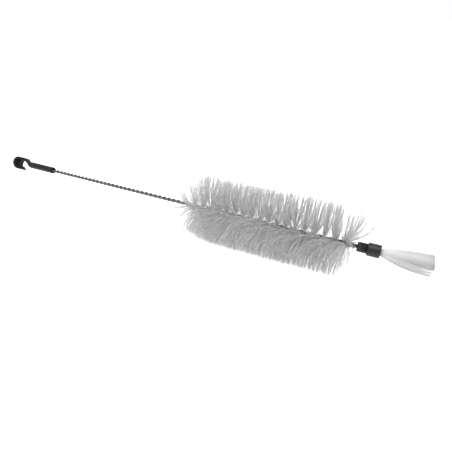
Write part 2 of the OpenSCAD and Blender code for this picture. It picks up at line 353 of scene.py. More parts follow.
def lower_arm():
    """The band from its lip to the eye: rows of x, u, half-width and half-thickness."""
    x = np.linspace(-MOUTH, EYE_X, LOWER_STEPS)
    half_w = np.minimum(arm_half(x, -MOUTH, LIP_W, LIP_SHARP), BAND_W / 2 * (1 - BACK_ROUND))
    half_t = lip_half(x)
    outer_u = -EYE_DROP - EYE_R - BAND_T
    return np.stack([x, outer_u + half_t, half_w, half_t], 1)


def eye_back():
    """The band round the back of the eye, in the same rows."""
    turn = np.radians(np.linspace(-90, -270, BACK_STEPS + 2)[1:-1])
    middle_r = EYE_R + BAND_T / 2
    half_w = BAND_W / 2 * (1 - BACK_ROUND * smooth(-np.sin(turn)))
    return np.stack([EYE_X + middle_r * np.cos(turn), -EYE_DROP + middle_r * np.sin(turn),
                     half_w, np.full(BACK_STEPS, BAND_T / 2)], 1)


def upper_arm():
    """The band from the eye to the sleeve, in the same rows."""
    x = np.linspace(EYE_X, NECK_END, UPPER_STEPS)
    half_w = arm_half(x, -MOUTH / 2, NECK_W)
    return np.stack([x, neck_u(x), half_w, np.full(UPPER_STEPS, BAND_T / 2)], 1)


def section(half_w, half_t, corner):
    """Corners of a rounded bar's section, with a fine flash line on both of its faces."""
    made = []
    for across, up, start in ((1, 1, 0), (-1, 1, 90), (-1, -1, 180), (1, -1, 270)):
        for a in np.radians(np.linspace(start, start + 90, CORNER_STEPS)):
            made.append((across * (half_w - corner) + corner * math.cos(a),
                         up * (half_t - corner) + corner * math.sin(a)))
        if start in (0, 180):
            for side, lift in ((1, 0), (0, FLASH_H), (-1, 0)):
                made.append((across * side * FLASH_W / 2, up * (half_t + lift)))
    return np.array(made)


def band_ring(middle, run, half_w, half_t):
    """One ring across the band's run: its corners as x, u and width."""
    normal = np.array([-run[1], run[0]])
    made = section(half_w, half_t, min(CORNER, half_t * CORNER_MOST, half_w * CORNER_MOST))
    return np.concatenate([middle + made[:, 1:] * normal, made[:, :1]], 1)


def hook_rings():
    """Rings of the whole band, from its rounded lip to its shoulder on the sleeve."""
    line = np.concatenate([lower_arm(), eye_back(), upper_arm()])
    run = unit(np.gradient(line[:, :2], axis=0))
    rings = []
    for way_in, share in LIP_RINGS:
        middle = line[0, :2] + run[0] * way_in * LIP_MORE
        rings.append(band_ring(middle, run[0], line[0, 2] * share, lip_half(middle[0]) * share))
    for (x, u, half_w, half_t), direction in zip(line[1:], run[1:]):
        if u < -EYE_DROP and x > -MOUTH - LIP_RUN:
            continue
        grown = smooth(1 + x / SHOULDER)
        rings.append(band_ring(np.array([x, u]), direction, between((half_w, SHOULDER_R), grown),
                               between((half_t, SHOULDER_R), grown)))
    return rings


def rounded_edge(radius, angles):
    """Points of a rounded edge: how far in along the axis, and how much less in radius."""
    return [(radius * (1 - math.cos(a)), radius * (1 - math.sin(a))) for a in np.radians(angles)]


def turned(profile):
    """Rings of a body turned about the wire's axis, from places and radii: x, up and across."""
    rings = []
    for x, r in profile:
        made = section(r, r, r * NEARLY)
        rings.append(np.stack([np.full(len(made), x), made[:, 1], made[:, 0]], 1))
    return rings


def sleeve_profile():
    """The sleeve's outline, from the neck's end over its outside into its bore."""
    bow = [(x, SLEEVE_R - less) for x, less in rounded_edge(SLEEVE_ROUND, SLEEVE_BOW)]
    straight = np.linspace(SLEEVE_START, SLEEVE_LEN - SLEEVE_START, SLEEVE_STEPS)
    profile = [(0.0, NOSE_R)] + bow
    profile += [(x, SLEEVE_R) for x in straight]
    profile += [(SLEEVE_LEN - x, r) for x, r in reversed(bow)]
    profile += [(SLEEVE_LEN, SOCKET_R + SOCKET_EDGE), (SLEEVE_LEN - SOCKET_EDGE, SOCKET_R)]
    profile += [(SLEEVE_LEN - SOCKET_DEPTH, SOCKET_R), (SLEEVE_LEN - SOCKET_DEPTH, BORE_R)]
    return profile + [(SLEEVE_LEN - GRIP_LEN - END_GAP, BORE_R)]


def hook_handle():
    """The hook and its sleeve, moulded in one piece."""
    rings = np.array(hook_rings() + turned(sleeve_profile()))
    turn = math.radians(HOOK_TURN)
    up = [0.0, math.sin(turn), math.cos(turn)]
    across = [0.0, -math.cos(turn), math.sin(turn)]
    flat = rings.reshape(-1, 3)
    corners = np.outer(flat[:, 0], [1, 0, 0]) + np.outer(flat[:, 1], up) + np.outer(flat[:, 2], across)
    return new_object("hook_and_sleeve", corners + [X_SLEEVE, 0, AXIS_H], *tube(rings.shape[:2]))


# ---- twisted wire ----

WIRE_SIDES = 14
RINGS_PER_TURN = 28
LOOP_R = EYE_LOOP * 2 * WIRE_R
LOOP_X = X_CUP + EYE_RUN * 2 * WIRE_R
LOOP_HALF = 100  # angle of the end loop on each side of its tip
LOOP_STEPS = 16
LINES_AROUND = 6.0  # cells of noise for the drawing lines round a strand, per radian
LINES_ALONG = 0.12  # and along it, per millimetre
TURNS_STEM = (X_BRUSH - X_WIRE) / STEM_PITCH
TURNS_BRUSH = TURNS_STEM + BRUSH_LEN / BRUSH_PITCH
TURNS_ALL = TURNS_BRUSH + (X_CUP - X_FRONT) / STEM_PITCH


def twist(x):
    """Angle of the first strand at a place along the wire, in radians."""
    stem = np.minimum(x, X_BRUSH) - X_WIRE
    brush = np.clip(x, X_BRUSH, X_FRONT) - X_BRUSH
    front = np.maximum(x, X_FRONT) - X_FRONT
    turns = (stem + front) / STEM_PITCH + brush / BRUSH_PITCH
    return 2 * math.pi * (turns - TURNS_ALL) + math.radians(WIRE_TURN)


def lay(x):
    """Distance of a strand's middle from the wire's axis."""
    opened = smooth((x - X_BRUSH) / EASE + 1) - smooth((x - X_FRONT) / EASE)
    return between((STRAND_LAY, BRUSH_LAY), opened)


def wire_path():
    """The wire's middle line: out along one strand, round its end loop and back as the other."""
    x = np.linspace(X_WIRE, X_CUP, int(TURNS_ALL * RINGS_PER_TURN))
    one = np.stack([x, *spoke(lay(x), twist(x))], 1)
    other = one * [1, -1, -1]
    a = np.radians(np.linspace(LOOP_HALF, -LOOP_HALF, LOOP_STEPS))
    sideways = spoke(LOOP_R * np.sin(a), math.radians(WIRE_TURN))
    loop = np.stack([LOOP_X + LOOP_R * np.cos(a), *sideways], 1)
    return np.concatenate([one, loop, other[::-1]])


def twisted_wire():
    """The wire, swept along its path; it carries places for the drawing lines on its surface."""
    path = wire_path()
    run = unit(np.gradient(path, axis=0))
    up = unit(np.array([0.0, 0.0, 1.0]) - run[:, 2:] * run)
    out = np.cross(run, up)
    a = 2 * np.pi * np.arange(WIRE_SIDES) / WIRE_SIDES
    ring = np.cos(a)[None, :, None] * up[:, None] + np.sin(a)[None, :, None] * out[:, None]
    corners = path[:, None] + WIRE_R * ring + [0, 0, AXIS_H]
    length = np.concatenate([[0], np.cumsum(np.linalg.norm(np.diff(path, axis=0), axis=1))])
    on_surface = {"run": np.repeat(length, WIRE_SIDES) * LINES_ALONG,
                  "around": np.tile(np.abs(a - np.pi) * LINES_AROUND, len(path))}
    polygons, sizes = tube((len(path), WIRE_SIDES))
    return new_object("wire", corners.reshape(-1, 3), polygons[::-1], sizes[::-1], on_surface)


# ---- filaments ----

FILAMENT_SIDES = 4
ALONG_WIRE = 0.8  # part of its run along x above which a filament lies along the wire


def filaments(name, paths, radius, tone):
    """Thin tubes along many paths of equal point count, each with its own tone from 0 to 1."""
    count, points, _ = paths.shape
    run = unit(paths[:, -1] - paths[:, 0])
    lead = np.where(np.abs(run[:, :1]) > ALONG_WIRE, [[0.0, 0.0, 1.0]], [[1.0, 0.0, 0.0]])
    one = unit(lead - (lead * run).sum(1, keepdims=True) * run)
    two = np.cross(run, one)
    sides = 2 * np.pi * np.arange(FILAMENT_SIDES) / FILAMENT_SIDES
    spin = random.random((count, 1)) * 2 * np.pi + sides
    ring = np.cos(spin)[..., None] * one[:, None] + np.sin(spin)[..., None] * two[:, None]
    corners = paths[:, :, None] + radius * ring[:, None]
    corners[..., 2] = np.maximum(corners[..., 2], 0.0)
    polygons, sizes = tube((points, FILAMENT_SIDES))
    firsts = np.arange(count) * points * FILAMENT_SIDES
    polygons = np.asarray(polygons)[None] + firsts[:, None]
    tones = np.repeat(tone, points * FILAMENT_SIDES)
    return new_object(name, corners.reshape(-1, 3), polygons.ravel(), np.tile(sizes, count),
                      {"tone": tones})


# ---- bristles ----
# Pairs are the smallest and the largest value, unless a line says otherwise. A ramp is a start
# and a run for ramp(). Leans and strays are lengths along the wire, at a bristle's tip: plus is
# towards the ferrule and minus towards the sleeve.

BRISTLES = 3700  # whole ones, through the wire
BRISTLE_R = 0.1
BRISTLE_LEN = 26.3  # from the wire's axis to a cut end
STEPS = (0.0, 0.06, 0.18, 0.35, 0.55, 0.75, 0.89, 1.0)  # rings of such a half, as shares of it
PARTS = 5  # objects that they are spread over
PRESSED = math.radians(57.0)  # direction round the wire that is above, as the head was pressed
ABOVE_SHARP = 3.0  # how quickly those above take over from those below
BELOW = (0.5, 0.3)  # ramp over minus pressed() for those well below
LOWEST = (0.8, 0.15)  # and for those whose tips show as the lower edge

# Where they stand
TRIES = 6  # places tried for each bristle
THINNEST = 0.08  # chance of a place where they are thinnest, against 1 where they are thickest
THIN_START = 3.0  # first stretch at the back, where they are thinnest
THIN_BACK = 13.0  # length over which they get thicker from there, and at the front end
THIN_FRONT = 4.0
BACK_THIN = 0.85  # how thickly they stand at the back end, against 1 at the front end

# How they are held together: in fine locks, and those in broader tresses
LOCK_SIZES = (0.06, 0.26)
TRESS_SIZES = (0.5, 1.8)
BACK_LOCKS = 1.6  # size of the locks at the back end, against 1 at the front end
LOCK_X = 1.3  # spread of the leans of locks
TRESS_X = 0.9  # and of tresses
WILD = 0.15  # share of the tresses with a wild lean, and half of it for the locks
WILD_BACK = 0.2  # more of them at the back end
WILD_X = 7.0  # largest wild lean
GATHER = 0.7  # share by which tips draw together in a lock
TRESS_GATHER = 0.1  # and in a tress
LOCK_TONE = 0.15  # share of a bristle's tone that it has from its lock

# How far they keep to their locks, from 0 to 1, and how far single ones stray
HELD_ABOVE = (0.15, 0.4)  # ramp over pressed(), up to 1
HELD_LOW = 0.05  # below that ramp
HELD_BACK = 0.85  # more at the back end
HELD_UNDER = 0.5  # at least, for the lowest
OWN_X = 0.4  # spread of the strays of single bristles, and of the lowest ones
OWN_UNDER = 0.6
OWN_FAN = 0.8  # the same round the wire, in degrees
FREE_X = 4.5  # further spread of those that don't keep to their locks
FREE_FAN = 10.0
GROUPED_SHARP = 4.0  # how quickly those above get clear of that spread
END_RUN = 8.0  # length at the front end over which all of them do
LOOSE = (0.45, 0.2)  # share of the locks above that hang loose, at the back and front ends
LOOSE_FREE = 0.9  # share by which those have left their tress
LOOSE_X = 2.4  # spread of their own leans
LOOSE_APART = 0.5  # share by which they keep out of the clumps

# The leans that they all have
SWEEP_UP = 3.3  # towards the sleeve, above, below and at the sides
SWEEP_LOW = 4.5
SWEEP_SIDE = 1.5
SWEEP_FRONT = 2.5  # more below towards the front
BACK_LEAN = 5.0  # further lean towards the sleeve at the back end
BACK_LOW = 0.6  # share of that below
BACK_RUN = 18.0
FRONT_LEAN = 2.0  # lean towards the ferrule above at the front end
FRONT_RUN = 16.0
OPEN = 4.0  # lean that opens the rows above
OPEN_BACK = 0.4  # share of that at the back end
FLAT_LOW = 0.3  # turn of the tips towards the pressed direction, below and above
FLAT_HIGH = 0.6
STRAY_RUN = 1.7  # how early a bristle takes its lean
ROOT_BACK = 1.0  # how far the roots above lie towards the sleeve
ROOT_SHARE = 0.18  # share of their distance from the upright ones that they keep
ROOT_ABOVE = (-0.25, 0.25)  # ramp over pressed() for those
ROOT_RUN = 1.8  # how early a bristle leaves its root's place

# Clumps of tips, above and along the lower edge
TOP_SIZES = (1.8, 4.8)
TOP_SHARE = 0.5  # share by which tips draw together in a clump
TOP_SKEW = -5.0  # from a clump's near side to its middle, along the wire
TOP_RUN = 1.6  # how late in its length a bristle joins its clump
EDGE_SIZES = (1.8, 3.8)
EDGE_SHARE = 0.95
EDGE_SKEW = -0.1  # the same, for each millimetre that it lies behind EDGE_FROM
EDGE_FROM = 155.0
EDGE_RUN = 3.5
EDGE_ALONG = (0.25, 0.25)  # ramp over along() for the clumps of the edge

# Their cut ends
TRIM = 0.12  # spread of the lengths below, and above
TRIM_HIGH = 1.1
TRIM_MORE = 1.5  # length that makes up for the first spread, in shares of it
TOP_TRIM = 0.45  # spread of the lengths of whole clumps
EDGE_TRIM = 0.4
HIGH_MORE = 0.64  # more length above
LOW_LESS = 1.2  # less below, towards the front
LESS_ALONG = (0.4, 0.5)  # ramp over along() for that
BEVEL = (3.0, 6.0)  # length that the first ones at the back lack, above and below
BEVEL_RUN = (9.0, 26.0)  # length of wire on which those stand

# The last ones above, at the front end, which lean every way
SPLAY_RUN = 8.3  # length of wire on which they stand
SPLAY_EASE = 2.0
SPLAY_SIZES = (0.06, 0.3)  # of their locks
SPLAY = (-7.0, 7.0)
SPLAY_FRONT = 13.0  # further lean of the very last
SPLAY_BACK = 0.7  # how far their roots lie towards the sleeve
SPLAY_SHORT = 0.2  # largest share of their length that they lack
BROKEN = 0.2  # share of them that is broken off
STUMP = 0.1  # share of a broken one that is left

# Single ones at both ends: wisps along the wire, and strands that stand apart
WISPS = 130  # at the back, and half of them at the front
WISP_BACK = (1.0, 8.0)
WISP_FRONT = (-8.0, -1.0)
WISP_LEN = (2.5, 9.0)
WISP_R = (1.3, 2.1)  # from the wire's axis
WISP_STEPS = (0.0, 0.5, 1.0)
WISP_GAP = 1.0  # before the ferrule
STRAND_SHARE = (0.55, 0.97)  # of a bristle's length
LOWEST_TIP = 0.3  # height over the floor
FRONT_STRANDS = 170
FRONT_STRAND_RUN = 11.0  # length of wire on which they stand
FRONT_STRAND_LEAN = (-9.0, 14.0)
BACK_STRANDS = 220
BACK_STRAND_RUN = 8.0
BACK_STRAND_LEAN = (-12.5, -3.0)
AWAY_UP = (-1.6, 1.0)  # ramps over pressed() and aside() for turned_away()
AWAY_SIDE = (0.0, 1 / 3)


def pressed(angle):
    """From 1 for the bristles above to -1 for those below, as the brush lay flat in its pack."""
    return np.cos(angle - PRESSED)


def aside(angle):
    """From 1 for the bristles on the near side of the wire to -1 for those on its far side."""
    return np.sin(angle - PRESSED)


def above(angle, sharp=ABOVE_SHARP):
    """1 for the bristles above, down to 0 for those below."""
    return smooth(sharp * pressed(angle))


def along(x):
    """From 0 at the back end of the bristles to 1 at their front end."""
    return (x - X_BRUSH) / BRUSH_LEN


def under_at(x, angle):
    """1 for the lowest bristles, whose tips show as the edge below, and 0 for the others."""
    return ramp(-pressed(angle), *LOWEST) * ramp(x, X_BRUSH, BRUSH_LEN / 2)


def splayed(x, angle):
    """1 for the upper bristles at the front end, which lean every way, and 0 for the others."""
    return ramp(x, X_FRONT - SPLAY_RUN, SPLAY_EASE) * above(angle)


def held_at(x, angle):
    """1 where the bristles keep to their locks, down to where they spread evenly."""
    low = HELD_LOW + HELD_BACK * (1 - ramp(x, X_BRUSH, BACK_RUN))
    held = between((low, 1), ramp(pressed(angle), *HELD_ABOVE))
    return np.maximum(held, HELD_UNDER * under_at(x, angle))


def lean_at(x, angle):
    """Lean of the tips towards the sleeve, most above and below, and at the back end; and the
    other way for the last ones above."""
    up = (1 + pressed(angle)) / 2
    back = BACK_LEAN * (1 - ramp(x, X_BRUSH, BACK_RUN)) * between((BACK_LOW, 1), up)
    front = FRONT_LEAN * ramp(x, X_FRONT - FRONT_RUN, FRONT_RUN) * up
    low = SWEEP_LOW + SWEEP_FRONT * smooth(along(x))
    sweep = between((low, SWEEP_UP), smooth(up))
    return front - back - between((SWEEP_SIDE, sweep), pressed(angle) ** 2)


def opened_at(x, angle):
    """Lean that opens the rows above into bouquets: the near side towards the sleeve, and the
    far side away from it."""
    share = between((OPEN_BACK, 1), smooth(along(x)))
    return -OPEN * share * aside(angle) * np.abs(aside(angle)) * np.minimum(1, 1 + pressed(angle))


def flattened(angle):
    """Turn that the tips have been given towards the direction in which they were pressed."""
    share = np.where(pressed(angle) > 0, FLAT_HIGH, FLAT_LOW)
    return -share * np.sin(2 * (angle - PRESSED)) / 2


def bunched(x, angle):
    """How far a bristle above moves, near its root, towards the nearest ones that stand upright
    and towards the sleeve."""
    turn = (twist(x) - PRESSED) % math.pi - math.pi / 2
    place_in_turn = turn * BRUSH_PITCH / (2 * math.pi)
    return -(ROOT_BACK + (1 - ROOT_SHARE) * place_in_turn) * ramp(pressed(angle), *ROOT_ABOVE)


def near_root(t):
    """Share of that move at a share of the length: none in the wire, and most just outside it."""
    return min(t / STEPS[1], 1) * (1 - t) ** ROOT_RUN


def leaning(t):
    """Share of its lean that a bristle has at a share of its length."""
    return 1 - (1 - t) ** STRAY_RUN


def root_places(count):
    """Places along the wire, thinner towards the brush's ends."""
    tries = X_BRUSH + BRUSH_LEN * random.random(TRIES * count)
    thick = ramp(tries, X_BRUSH + THIN_START, THIN_BACK) * smooth((X_FRONT - tries) / THIN_FRONT)
    thick *= between((BACK_THIN, 1), along(tries))
    kept = tries[random.random(TRIES * count) < between((THINNEST, 1), thick)]
    return np.sort(random.permutation(kept)[:count])


def groups(x, sizes, back=1.0):
    """The group along the wire that each bristle belongs to, and the middle of that group."""
    widths = random.uniform(*sizes, int(BRUSH_LEN / sizes[0]) + 1)
    share = np.minimum(np.cumsum(widths) / BRUSH_LEN, 1)
    ends = np.cumsum(widths * between((back, 1), share)) + X_BRUSH
    group = np.searchsorted(ends, x)
    return group, ends[group] - (ends[group] - ends[np.maximum(group - 1, 0)]) / 2


def group_leans(group, spread, wild):
    """A lean for each group: most of them small, and a share of them wild."""
    total = group.max() + 1
    lean = random.normal(0, spread, total)
    chance = random.random(total)[group] < wild
    return np.where(chance, random.uniform(-WILD_X, WILD_X, total)[group], lean[group])


def drawn(tips, aslant, sizes, share):
    """How far tips move together along the wire into clumps that lie aslant round the brush, and
    the clump of each. The clumps begin well before the bristles, for tips that lean past them."""
    tips = tips + aslant
    ends = np.cumsum(random.uniform(*sizes, int(2 * BRUSH_LEN / sizes[0]))) + X_BRUSH - BRUSH_LEN / 4
    clump = np.searchsorted(ends, tips)
    return share * ((ends[clump] + ends[clump - 1]) / 2 - tips), clump


def splay_leans(x, angle):
    """Leans of the last bristles above: any in their locks, and more towards the front end."""
    lock = groups(x, SPLAY_SIZES)[0]
    lean = random.uniform(*SPLAY, lock.max() + 1)[lock]
    return splayed(x, angle) * (lean + SPLAY_FRONT * ramp(x, X_FRONT - SPLAY_RUN, SPLAY_RUN))


def strays(x, angle, loose, in_locks, in_tresses):
    """How far the tips stray along the wire, and round it as an angle."""
    lock, middle = in_locks
    tress, tress_middle = in_tresses
    wild = WILD + WILD_BACK * (1 - along(x))
    lead = group_leans(tress, TRESS_X, wild) + LOCK_X * group_leans(lock, 1.0, wild / 2)
    lead += GATHER * (middle - x) + TRESS_GATHER * (tress_middle - x)
    held = held_at(x, angle) * (1 - splayed(x, angle)) * (1 - LOOSE_FREE * loose)
    own = between((OWN_X, OWN_UNDER), under_at(x, angle))
    ends = 1 - ramp(x, X_BRUSH, BACK_RUN) * smooth((X_FRONT - x) / END_RUN)
    grouped = np.maximum(above(angle, GROUPED_SHARP), ends)
    noise = random.normal(0, 1, len(x))
    free = noise * FREE_X * (1 - grouped) + random.normal(0, LOOSE_X, lock.max() + 1)[lock] * grouped
    stray = held * lead + noise * own + (1 - held) * free
    stray += splay_leans(x, angle)
    fan = np.maximum(held, grouped) * GATHER * (twist(middle) - twist(x)) + flattened(angle)
    fan += np.radians(random.normal(0, 1, len(x)) * (OWN_FAN + (1 - held) * FREE_FAN))
    return stray, fan


def cut_length(x, angle, clump, edge_clump):
    """Length of the bristles from the wire's axis to their cut ends."""
    low = (1 - pressed(angle)) / 2
    trim = between((TRIM, TRIM_HIGH), above(angle))
    length = BRISTLE_LEN + TRIM_MORE * TRIM - trim * np.abs(random.normal(0, 1, len(x)))
    length -= above(angle) * np.abs(random.normal(0, TOP_TRIM, clump.max() + 1))[clump]
    below = ramp(-pressed(angle), *BELOW)
    length -= below * np.abs(random.normal(0, EDGE_TRIM, edge_clump.max() + 1))[edge_clump]
    length += HIGH_MORE * (1 - low) - LOW_LESS * low * ramp(along(x), *LESS_ALONG)
    length *= 1 - SPLAY_SHORT * splayed(x, angle) * random.random(len(x))
    return length - between(BEVEL, low) * (1 - ramp(x, X_BRUSH, between(BEVEL_RUN, low)))


def bristle_half(x, angle, in_locks, in_tresses):
    """Middle lines of bristles from the wire to their cut ends, on one side of it."""
    lock = in_locks[0]
    loose = above(angle) * (random.random(lock.max() + 1)[lock] < between(LOOSE, along(x)))
    stray, fan = strays(x, angle, loose, in_locks, in_tresses)
    stray += opened_at(x, angle)
    lean = lean_at(x, angle)
    tips = x + lean + stray
    last = splayed(x, angle)
    to_top, clump = drawn(tips, TOP_SKEW * aside(angle), TOP_SIZES, TOP_SHARE)
    to_top *= above(angle) * (1 - last) * (1 - LOOSE_APART * loose)
    aslant = EDGE_SKEW * (EDGE_FROM - tips) * aside(angle)
    to_edge, edge_clump = drawn(tips, aslant, EDGE_SIZES, EDGE_SHARE)
    to_edge *= ramp(-pressed(angle), *BELOW) * ramp(along(x), *EDGE_ALONG)
    length = cut_length(x, angle, clump, edge_clump)
    # A stray shortens the reach by half of what it would, but for the last ones in full.
    out = np.sqrt(length ** 2 - (lean + stray * (1 + last) / 2) ** 2)
    broken = random.random(len(x)) < BROKEN * last
    for value in (out, lean, stray):
        value[broken] *= STUMP
    root = bunched(x, angle) - SPLAY_BACK * last
    points = []
    for t in STEPS:
        at = x + root * near_root(t) + (lean + stray) * leaning(t)
        at += to_top * t ** TOP_RUN + to_edge * t ** EDGE_RUN
        points.append(np.stack([at, *spoke(out * t, angle + fan * t)], 1))
    return np.stack(points, 1)


def bristle_paths(x, in_locks):
    """Whole bristles, from one cut end through the wire to the other."""
    angle = twist(x) + math.pi / 2
    in_tresses = groups(x, TRESS_SIZES)
    one = bristle_half(x, angle, in_locks, in_tresses)
    other = bristle_half(x, angle + math.pi, in_locks, in_tresses)
    paths = np.concatenate([other[:, :0:-1], one], 1)
    shift = (random.random(len(x)) - 0.5) * LAYER_T
    paths[..., 1] -= (shift * np.sin(angle))[:, None]
    paths[..., 2] += (shift * np.cos(angle))[:, None] + AXIS_H
    return paths


def single_bristles(name, points):
    """An object of bristles, from their points at one step after the other."""
    paths = np.stack(points, 1)
    return filaments(name, paths, BRISTLE_R, random.random(len(paths)))


def wisps():
    """Short ends that lie along the wire where the bristles begin and where they stop."""
    back = X_BRUSH + random.uniform(*WISP_BACK, WISPS)
    x = np.concatenate([back, X_FRONT + random.uniform(*WISP_FRONT, WISPS // 2)])
    way = np.sign(along(x) - 0.5)
    angle = 2 * np.pi * random.random(len(x))
    length = random.uniform(*WISP_LEN, len(x))
    length = np.where(way > 0, np.minimum(length, X_FERRULE - WISP_GAP - x), length)
    rise = random.uniform(0, WISP_R[1] - WISP_R[0], len(x))
    points = []
    for t in WISP_STEPS:
        y, z = spoke(WISP_R[0] + rise * t * t, angle)
        points.append(np.stack([x + way * length * t, y, AXIS_H + z], 1))
    return single_bristles("bristle_wisps", points)


def turned_away(angle):
    """1 for the bristles above and on the far side, less for those below, and 0 on the near side."""
    return ramp(pressed(angle), *AWAY_UP) * (1 - ramp(aside(angle), *AWAY_SIDE))


def strands(name, x, leans, share):
    """Single bristles that stand apart at an end of the brush, with leans of their own. share()
    gives how much of its lean a bristle takes, by its angle."""
    angle = twist(x) + math.pi * (random.integers(0, 2, len(x)) - 0.5)
    length = BRISTLE_LEN * random.uniform(*STRAND_SHARE, len(x))
    lean = random.uniform(*leans, len(x)) * share(angle) * length / BRISTLE_LEN
    out = np.sqrt(length ** 2 - lean ** 2)
    out *= np.minimum(1, (AXIS_H - LOWEST_TIP) / np.maximum(-out * np.sin(angle), 1))
    points = []
    for t in STEPS:
        y, z = spoke(out * t, angle)
        at = x + bunched(x, angle) * near_root(t) + lean * leaning(t)
        points.append(np.stack([at, y, AXIS_H + z], 1))
    return single_bristles(name, points)


def bristles():
    """The brush's bristles: the single ones at its ends, and the whole ones in equal numbers."""
    x = root_places(BRISTLES)
    in_locks = groups(x, LOCK_SIZES, BACK_LOCKS)
    paths = bristle_paths(x, in_locks)
    lock = in_locks[0]
    tone = LOCK_TONE * random.random(lock.max() + 1)[lock] + (1 - LOCK_TONE) * random.random(len(x))
    made = [wisps()]
    front = X_FRONT - FRONT_STRAND_RUN * random.random(FRONT_STRANDS)
    made.append(strands("bristle_strands_front", front, FRONT_STRAND_LEAN, turned_away))
    back = X_BRUSH + BACK_STRAND_RUN * random.random(BACK_STRANDS)
    made.append(strands("bristle_strands_back", back, BACK_STRAND_LEAN, np.ones_like))
    for own in np.array_split(np.arange(len(x)), PARTS):
        made.append(filaments(f"bristles_{len(made)}", paths[own], BRISTLE_R, tone[own]))
    return made


# ---- ferrule ----

FERRULE_BOW = (0, 20, 40, 60, 75, 90)  # angles of the rings round its edges
STEP_X = COLLAR_LEN + 0.3  # step between the wire's bore and the tuft's seat
SEAT_EDGE = 0.2  # bevel round the seat's mouth


def ferrule():
    """The ferrule, turned from its outline: out of its bore, over its outside and into its seat."""
    edge = rounded_edge(FERRULE_ROUND, FERRULE_BOW)
    length = X_TUFT - X_FERRULE
    seat_r = SEAT_R + FIT
    profile = [(STEP_X, BORE_R), (0.0, BORE_R), (0.0, COLLAR_R - FERRULE_ROUND)]
    profile += [(x, COLLAR_R - less) for x, less in edge]
    profile += [(COLLAR_LEN, COLLAR_R), (COLLAR_LEN, CUP_R - FERRULE_ROUND)]
    profile += [(COLLAR_LEN + x, CUP_R - less) for x, less in edge]
    profile += [(length - x, CUP_R - less) for x, less in reversed(edge)]
    profile += [(length, seat_r + SEAT_EDGE), (length - SEAT_EDGE, seat_r), (STEP_X, seat_r)]
    rings = np.array(turned(profile))
    corners = rings.reshape(-1, 3)[:, [0, 2, 1]] + [X_FERRULE, 0, AXIS_H]
    polygons, sizes = tube(rings.shape[:2], closed_ends=False)
    return new_object("ferrule", corners, polygons[::-1], sizes)


# ---- tuft ----
# A filament keeps its place in a disc, across and up, where up is the pressed direction. Pairs
# are the values in the ferrule and at the cut end.

TUFT_FILAMENTS = 2500
TUFT_FILAMENT_R = 0.09
TUFT_STEPS = 7
TUFT_START = 2.0  # length of the filaments inside the ferrule
TUFT_TRIM = 0.4  # largest length that one of them lacks
TUFT_PAINTED_SHADE = 0.85  # share of a filament's tone that is painted shade by its height in the tuft; the rest is at random
PAINTED_LIGHT_FROM = 0.5  # painted shade: share of full tone at the height of the bundle's middle, darker below it and full above

MAIN_R = (1.75, 4.9)  # radius of the main bundle
MAIN_FLARE = 1.9  # how early it widens
MAIN_RISE = (0.0, 1.4)
MAIN_RISE_RUN = 2.0  # how early it rises
MAIN_MORE = 0.3  # length of its middle past the tip of the frame's tuft
MAIN_SLANT = 1.0  # less than that at its top, and more at its bottom

PART_SHARE = 0.2  # share of the filaments that stand apart, below
PART_R = (1.1, 2.7)  # half-height of that part in the ferrule, and where it is highest
PART_R_AT = 0.6  # that place, as a share of its length
PART_R_RUN = 1.5  # how early it grows to that
PART_TAPER = 0.6  # less at its cut end
PART_TAPER_FROM = (0.65, 0.35)  # ramp over its length
PART_WIDE = 2.2  # its width against its height, at its cut end
PART_DROP = (0.5, 5.2)
PART_FLARE = 1.8  # how early it drops
PART_SHORT = 3.0  # largest length that it lacks
PART_TIPS = 3  # tips into which it falls, and the distance between them
PART_OPEN = 0.45
PART_OPEN_FROM = (0.6, 0.4)  # ramp over its length


def disc(count):
    """Evenly spread places in a disc of radius 1, as rows of across and up."""
    i = np.arange(count)
    share = np.sqrt((i + 0.5) / count)
    angle = i * math.pi * (3 - math.sqrt(5))
    return np.stack([share * np.cos(angle), share * np.sin(angle)], 1)


def eased(pair, t, power):
    """Between two values, with most of the way in the beginning."""
    return between(pair, 1 - (1 - t) ** power)


def main_places(main, t):
    """Places of the main bundle's filaments at a share of their length."""
    return main * eased(MAIN_R, t, MAIN_FLARE) + [0, eased(MAIN_RISE, t, MAIN_RISE_RUN)]


def part_places(apart, t):
    """Places of the filaments that stand apart, at a share of their length."""
    r = eased(PART_R, min(t / PART_R_AT, 1.0), PART_R_RUN) - PART_TAPER * ramp(t, *PART_TAPER_FROM)
    places = apart * [r * (1 + (PART_WIDE - 1) * t), r] - [0, eased(PART_DROP, t, PART_FLARE)]
    tip = np.floor((apart[:, 1] + 1) / 2 * PART_TIPS * NEARLY) - (PART_TIPS - 1) / 2
    places[:, 1] += PART_OPEN * tip * ramp(t, *PART_OPEN_FROM)
    return places


def tuft_points(places, t, end):
    """The filaments' points at a share of their length, from their places across and up."""
    across, up = places.T
    x = X_TUFT - TUFT_START + (end - X_TUFT + TUFT_START) * t
    y = up * math.cos(PRESSED) - across * math.sin(PRESSED)
    z = up * math.sin(PRESSED) + across * math.cos(PRESSED)
    return np.stack([x, y, AXIS_H + z], 1)


